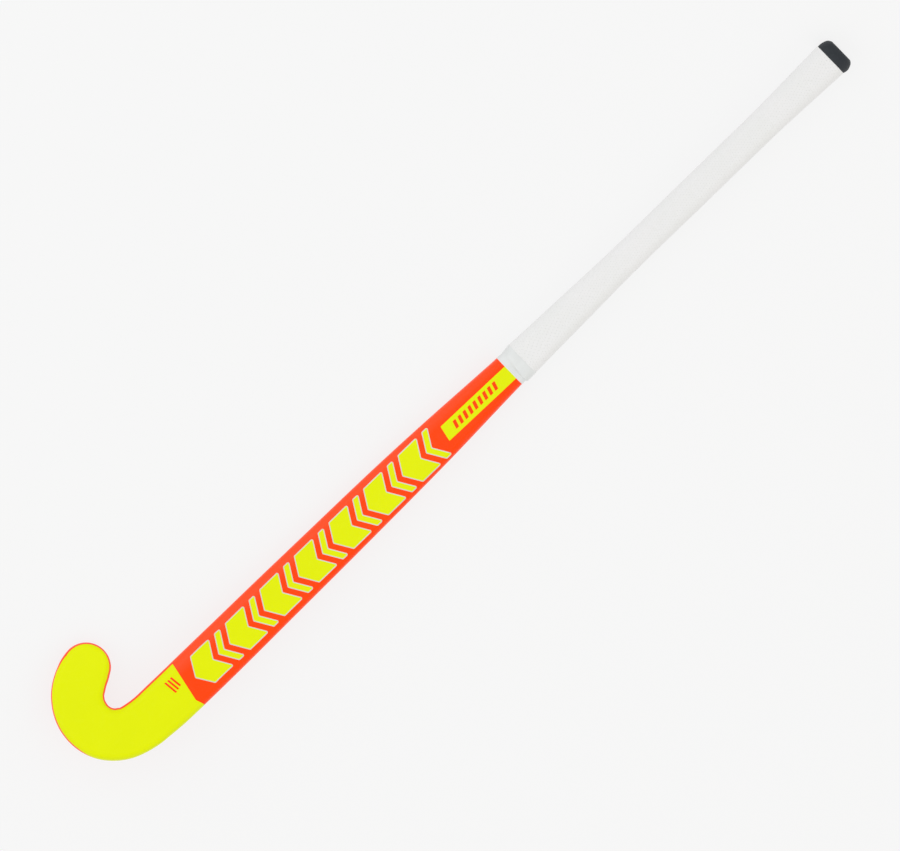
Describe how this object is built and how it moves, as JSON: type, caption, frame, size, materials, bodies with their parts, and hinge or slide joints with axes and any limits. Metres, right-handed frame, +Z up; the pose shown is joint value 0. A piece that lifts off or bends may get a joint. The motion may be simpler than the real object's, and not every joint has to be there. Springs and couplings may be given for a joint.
{
  "type": "field hockey stick",
  "caption": "Moulded composite field hockey stick with a J-shaped hook, flat playing face, gently bowed shaft, white cushioned grip and dark rubber butt cap.",
  "frame": {"origin": "middle of the bounding box in plan, on the floor that the stick lies on", "axes": "+Z up; +X along the stick from the hook to the butt cap; +Y towards the toe; the flat playing face looks up, leaning 19.7 degrees towards the toe as the real stick rolls at rest"},
  "size_m": [0.9264, 0.1206, 0.052],
  "materials": {
    "orange_lacquer": "gloss",
    "core_foam": "matte",
    "bare_laminate": "satin",
    "cap_rubber": "matte",
    "grip_cushion": "matte",
    "grip_white": "matte",
    "tape_white": "satin",
    "yellow_film": "gloss"
  },
  "bodies": {
    "root": {"outer_laminate": "orange_lacquer", "head_core": "core_foam", "inner_tube_toe_side": "bare_laminate", "inner_tube_heel_side": "bare_laminate", "handle_plug": "core_foam", "end_cap": "cap_rubber", "grip_backing": "grip_cushion", "grip_wrap": "grip_white", "finishing_tape": "tape_white", "head_film": "yellow_film", "shaft_graphic": "yellow_film", "bar_film": "yellow_film"}
  },
  "joints": []
}
